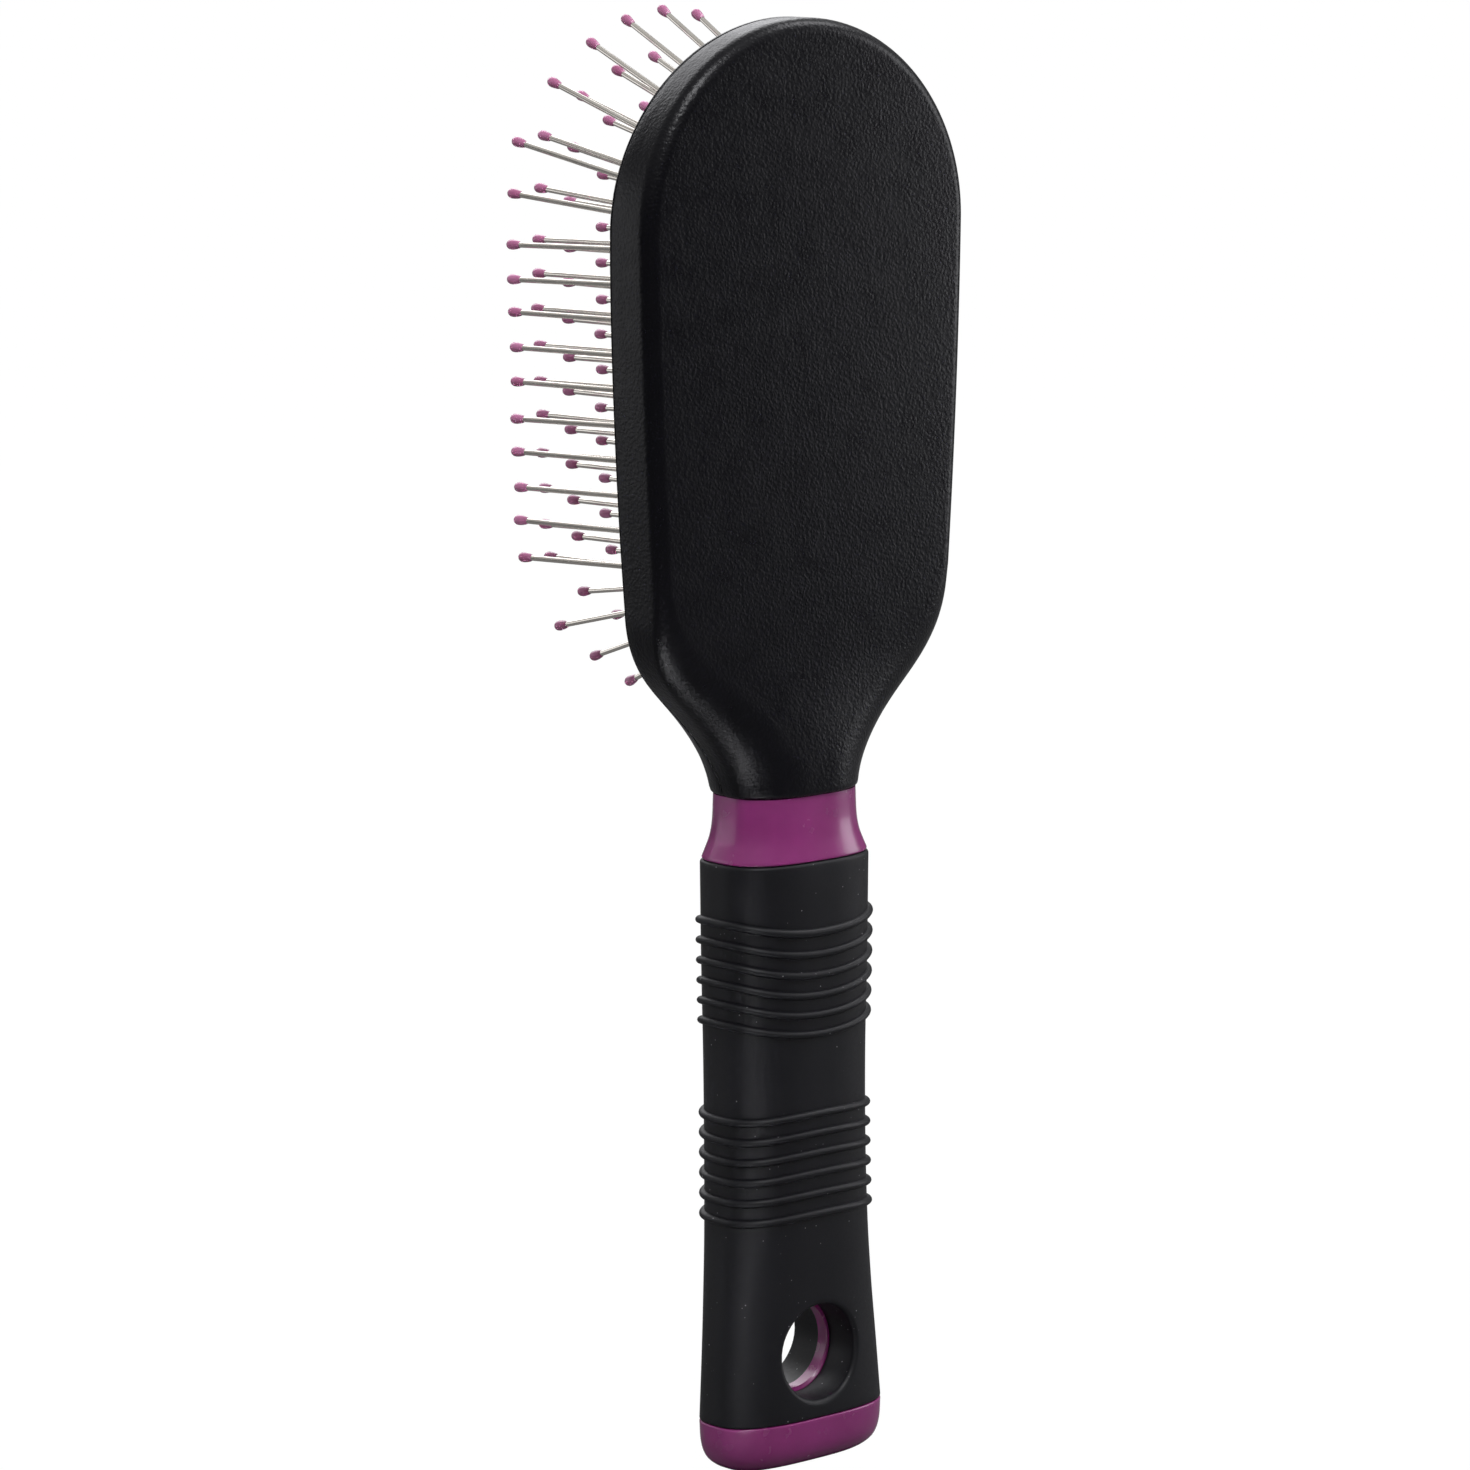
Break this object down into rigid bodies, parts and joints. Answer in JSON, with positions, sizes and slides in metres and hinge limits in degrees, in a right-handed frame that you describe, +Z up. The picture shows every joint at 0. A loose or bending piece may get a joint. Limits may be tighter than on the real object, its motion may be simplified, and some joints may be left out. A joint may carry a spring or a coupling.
{
  "type": "hair brush",
  "caption": "Cushion paddle brush: flat rounded head with an air-cushion pad of wire ball-tipped pins, on a ribbed rubber grip with a flared collar, a hanging hole and a rounded end cap.",
  "frame": {"origin": "centre of the flat on the bottom of the end cap", "axes": "+Z runs up the handle to the top of the head, the pins point to -Y, the back of the head faces +Y, X runs across the width"},
  "size_m": [0.07, 0.0491, 0.2418],
  "materials": {
    "black_plastic": "fine leather-like grain, satin",
    "grip_rubber": "matte soft-touch rubber",
    "pad_rubber": "smooth natural rubber sheet",
    "magenta_plastic": "polished",
    "pin_steel": "bright drawn wire",
    "tip_coating": "glossy dipped coating on the pins' ball ends"
  },
  "bodies": {
    "brush": {"head_back_shell": "black_plastic", "head_front_frame": "black_plastic", "handle_core": "magenta_plastic", "grip_sleeve": "grip_rubber", "end_cap": "magenta_plastic"},
    "cushion": {"cushion_pad": "pad_rubber"},
    "row_1": {"pin_row_1": "pin_steel"},
    "row_2": {"pin_row_2": "pin_steel"},
    "row_3": {"pin_row_3": "pin_steel"},
    "row_4": {"pin_row_4": "pin_steel"},
    "row_5": {"pin_row_5": "pin_steel"},
    "row_6": {"pin_row_6": "pin_steel"},
    "row_7": {"pin_row_7": "pin_steel"},
    "row_8": {"pin_row_8": "pin_steel"},
    "row_9": {"pin_row_9": "pin_steel"}
  },
  "joints": [
    {"name": "cushion_press", "type": "slide", "parent": "brush", "child": "cushion", "axis": [0, 1, 0], "range_m": [0, 0.003], "stiffness_N_per_m": 3000},
    {"name": "row_1_tilt", "type": "hinge", "parent": "cushion", "child": "row_1", "pos_m": [-0.02475, -0.013, 0.18375], "axis": [-0.0268, 0, 0.9996], "range_deg": [-8, 8], "stiffness_Nm_per_rad": 0.05},
    {"name": "row_2_tilt", "type": "hinge", "parent": "cushion", "child": "row_2", "pos_m": [-0.01848, -0.0146, 0.1835], "axis": [-0.0187, 0, 0.9998], "range_deg": [-8, 8], "stiffness_Nm_per_rad": 0.05},
    {"name": "row_3_tilt", "type": "hinge", "parent": "cushion", "child": "row_3", "pos_m": [-0.0123, -0.0155, 0.184], "axis": [-0.0119, 0, 0.9999], "range_deg": [-8, 8], "stiffness_Nm_per_rad": 0.05},
    {"name": "row_4_tilt", "type": "hinge", "parent": "cushion", "child": "row_4", "pos_m": [-0.00614, -0.0159, 0.1841], "axis": [-0.0058, 0, 1], "range_deg": [-8, 8], "stiffness_Nm_per_rad": 0.05},
    {"name": "row_5_tilt", "type": "hinge", "parent": "cushion", "child": "row_5", "pos_m": [0, -0.016, 0.1841], "axis": [0, 0, 1], "range_deg": [-8, 8], "stiffness_Nm_per_rad": 0.05},
    {"name": "row_6_tilt", "type": "hinge", "parent": "cushion", "child": "row_6", "pos_m": [0.00614, -0.0159, 0.1841], "axis": [0.0058, 0, 1], "range_deg": [-8, 8], "stiffness_Nm_per_rad": 0.05},
    {"name": "row_7_tilt", "type": "hinge", "parent": "cushion", "child": "row_7", "pos_m": [0.0123, -0.0155, 0.184], "axis": [0.0119, 0, 0.9999], "range_deg": [-8, 8], "stiffness_Nm_per_rad": 0.05},
    {"name": "row_8_tilt", "type": "hinge", "parent": "cushion", "child": "row_8", "pos_m": [0.01848, -0.0146, 0.1835], "axis": [0.0187, 0, 0.9998], "range_deg": [-8, 8], "stiffness_Nm_per_rad": 0.05},
    {"name": "row_9_tilt", "type": "hinge", "parent": "cushion", "child": "row_9", "pos_m": [0.02475, -0.013, 0.18375], "axis": [0.0268, 0, 0.9996], "range_deg": [-8, 8], "stiffness_Nm_per_rad": 0.05}
  ]
}
